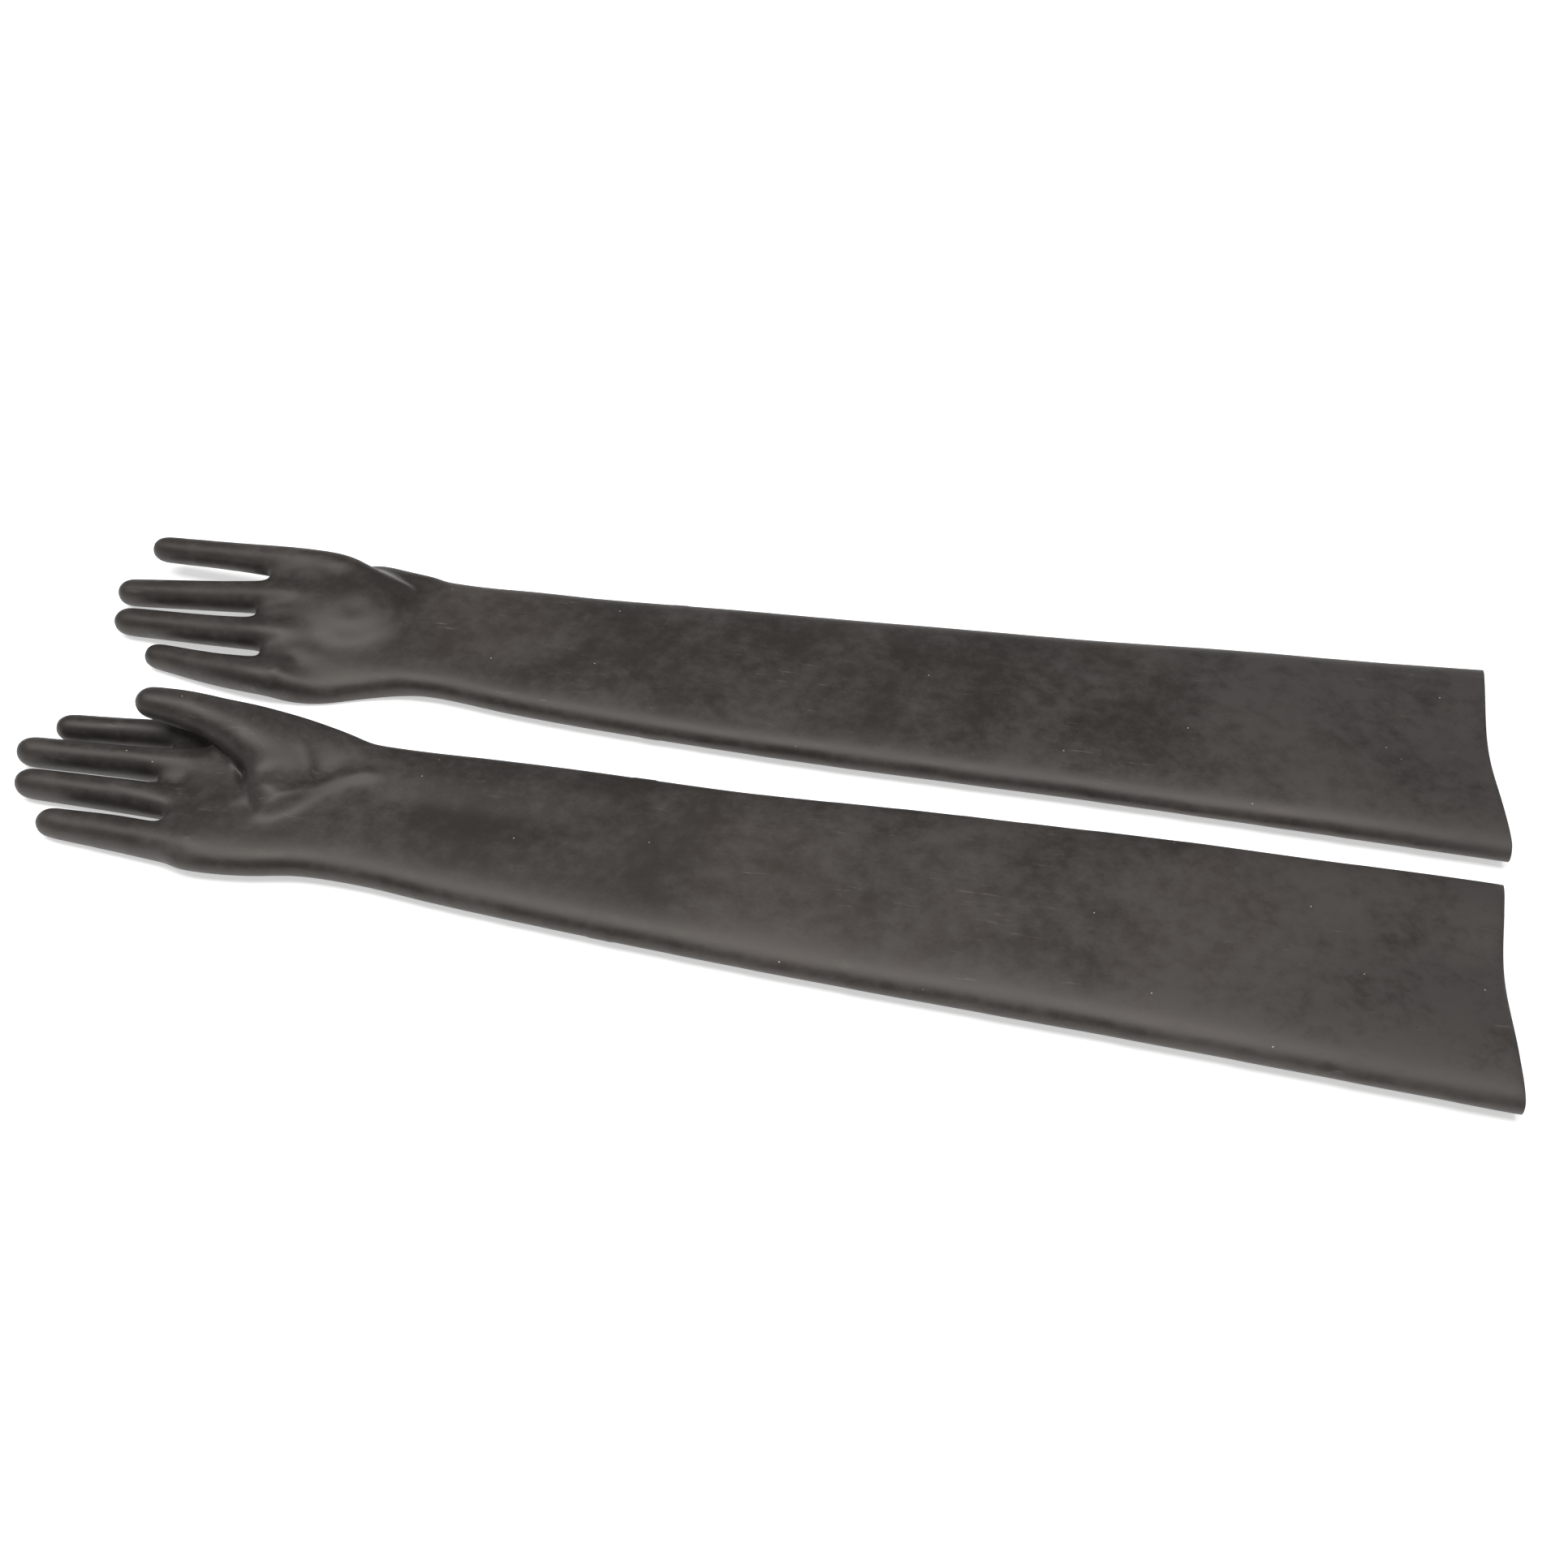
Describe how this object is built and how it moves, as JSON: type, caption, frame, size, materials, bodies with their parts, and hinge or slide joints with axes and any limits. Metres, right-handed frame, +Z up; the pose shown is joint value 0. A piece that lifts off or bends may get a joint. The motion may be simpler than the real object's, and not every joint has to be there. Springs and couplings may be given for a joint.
{
  "type": "arm-length electrical insulating gloves",
  "caption": "Pair of shoulder-length seamless black rubber insulating gloves, left lying back up and right palm up, with plain open cuffs that widen from the wrist.",
  "frame": {"origin": "centre of the bounding box, on the surface the gloves lie on", "axes": "+X from the fingertips to the cuffs, +Y towards the left glove, +Z up"},
  "size_m": [0.8064, 0.3052, 0.0464],
  "materials": {
    "rubber": "satin, chalky"
  },
  "bodies": {
    "left_thumb": {"left_thumb": "rubber"},
    "left_index_finger": {"left_index_finger": "rubber"},
    "left_middle_finger": {"left_middle_finger": "rubber"},
    "left_ring_finger": {"left_ring_finger": "rubber"},
    "left_little_finger": {"left_little_finger": "rubber"},
    "left_palm": {"left_palm": "rubber", "left_index_finger_base": "rubber", "left_middle_finger_base": "rubber", "left_ring_finger_base": "rubber", "left_little_finger_base": "rubber"},
    "left_forearm": {"left_forearm": "rubber"},
    "left_upper_sleeve": {"left_upper_sleeve": "rubber"},
    "right_thumb": {"right_thumb": "rubber"},
    "right_index_finger": {"right_index_finger": "rubber"},
    "right_middle_finger": {"right_middle_finger": "rubber"},
    "right_ring_finger": {"right_ring_finger": "rubber"},
    "right_little_finger": {"right_little_finger": "rubber"},
    "right_palm": {"right_palm": "rubber", "right_index_finger_base": "rubber", "right_middle_finger_base": "rubber", "right_ring_finger_base": "rubber", "right_little_finger_base": "rubber"},
    "right_forearm": {"right_forearm": "rubber"},
    "right_upper_sleeve": {"right_upper_sleeve": "rubber"}
  },
  "joints": [
    {"name": "left_elbow_fold", "type": "hinge", "parent": "left_upper_sleeve", "child": "left_forearm", "pos_m": [0.11678, 0.07655, 0.0203], "axis": [-0.0197, 0.9998, 0], "range_deg": [0, 140], "stiffness_Nm_per_rad": 1.5},
    {"name": "left_wrist_bend", "type": "hinge", "parent": "left_forearm", "child": "left_palm", "pos_m": [-0.18816, 0.07054, 0.0203], "axis": [-0.0197, 0.9998, 0], "range_deg": [0, 60], "stiffness_Nm_per_rad": 0.8},
    {"name": "left_index_finger_flex", "type": "hinge", "parent": "left_palm", "child": "left_index_finger", "pos_m": [-0.35396, 0.10927, 0.0141], "axis": [0.0197, -0.9998, 0], "range_deg": [0, 70], "stiffness_Nm_per_rad": 0.05},
    {"name": "left_middle_finger_flex", "type": "hinge", "parent": "left_palm", "child": "left_middle_finger", "pos_m": [-0.35137, 0.07965, 0.00802], "axis": [0.0197, -0.9998, 0], "range_deg": [0, 70], "stiffness_Nm_per_rad": 0.05},
    {"name": "left_ring_finger_flex", "type": "hinge", "parent": "left_palm", "child": "left_ring_finger", "pos_m": [-0.34689, 0.05512, 0.00437], "axis": [0.0197, -0.9998, 0], "range_deg": [0, 70], "stiffness_Nm_per_rad": 0.05},
    {"name": "left_little_finger_flex", "type": "hinge", "parent": "left_palm", "child": "left_little_finger", "pos_m": [-0.33436, 0.02831, 0.00107], "axis": [0.0197, -0.9998, 0], "range_deg": [0, 70], "stiffness_Nm_per_rad": 0.05},
    {"name": "left_thumb_open", "type": "hinge", "parent": "left_palm", "child": "left_thumb", "pos_m": [-0.29369, 0.09641, -0.0003], "axis": [0.0197, -0.9998, 0], "range_deg": [0, 30], "stiffness_Nm_per_rad": 0.3},
    {"name": "right_elbow_fold", "type": "hinge", "parent": "right_upper_sleeve", "child": "right_forearm", "pos_m": [0.12178, -0.07655, 0.0203], "axis": [0.0197, 0.9998, 0], "range_deg": [0, 140], "stiffness_Nm_per_rad": 1.5},
    {"name": "right_wrist_bend", "type": "hinge", "parent": "right_forearm", "child": "right_palm", "pos_m": [-0.18316, -0.07054, 0.0203], "axis": [0.0197, 0.9998, 0], "range_deg": [0, 60], "stiffness_Nm_per_rad": 0.8},
    {"name": "right_index_finger_flex", "type": "hinge", "parent": "right_palm", "child": "right_index_finger", "pos_m": [-0.34751, -0.03601, 0.01757], "axis": [0.0197, 0.9998, 0], "range_deg": [0, 70], "stiffness_Nm_per_rad": 0.05},
    {"name": "right_middle_finger_flex", "type": "hinge", "parent": "right_palm", "child": "right_middle_finger", "pos_m": [-0.34591, -0.0564, 0.01844], "axis": [0.0197, 0.9998, 0], "range_deg": [0, 70], "stiffness_Nm_per_rad": 0.05},
    {"name": "right_ring_finger_flex", "type": "hinge", "parent": "right_palm", "child": "right_ring_finger", "pos_m": [-0.34239, -0.08055, 0.01799], "axis": [0.0197, 0.9998, 0], "range_deg": [0, 70], "stiffness_Nm_per_rad": 0.05},
    {"name": "right_little_finger_flex", "type": "hinge", "parent": "right_palm", "child": "right_little_finger", "pos_m": [-0.33089, -0.1062, 0.01698], "axis": [0.0197, 0.9998, 0], "range_deg": [0, 70], "stiffness_Nm_per_rad": 0.05},
    {"name": "right_thumb_open", "type": "hinge", "parent": "right_palm", "child": "right_thumb", "pos_m": [-0.28759, -0.04053, 0.0468], "axis": [0.0197, 0.9998, 0], "range_deg": [0, 30], "stiffness_Nm_per_rad": 0.3},
    {"name": "right_glove_lift", "type": "slide", "parent": "left_upper_sleeve", "child": "right_upper_sleeve", "axis": [0, 0, 1], "range_m": [0, 0.15]}
  ]
}
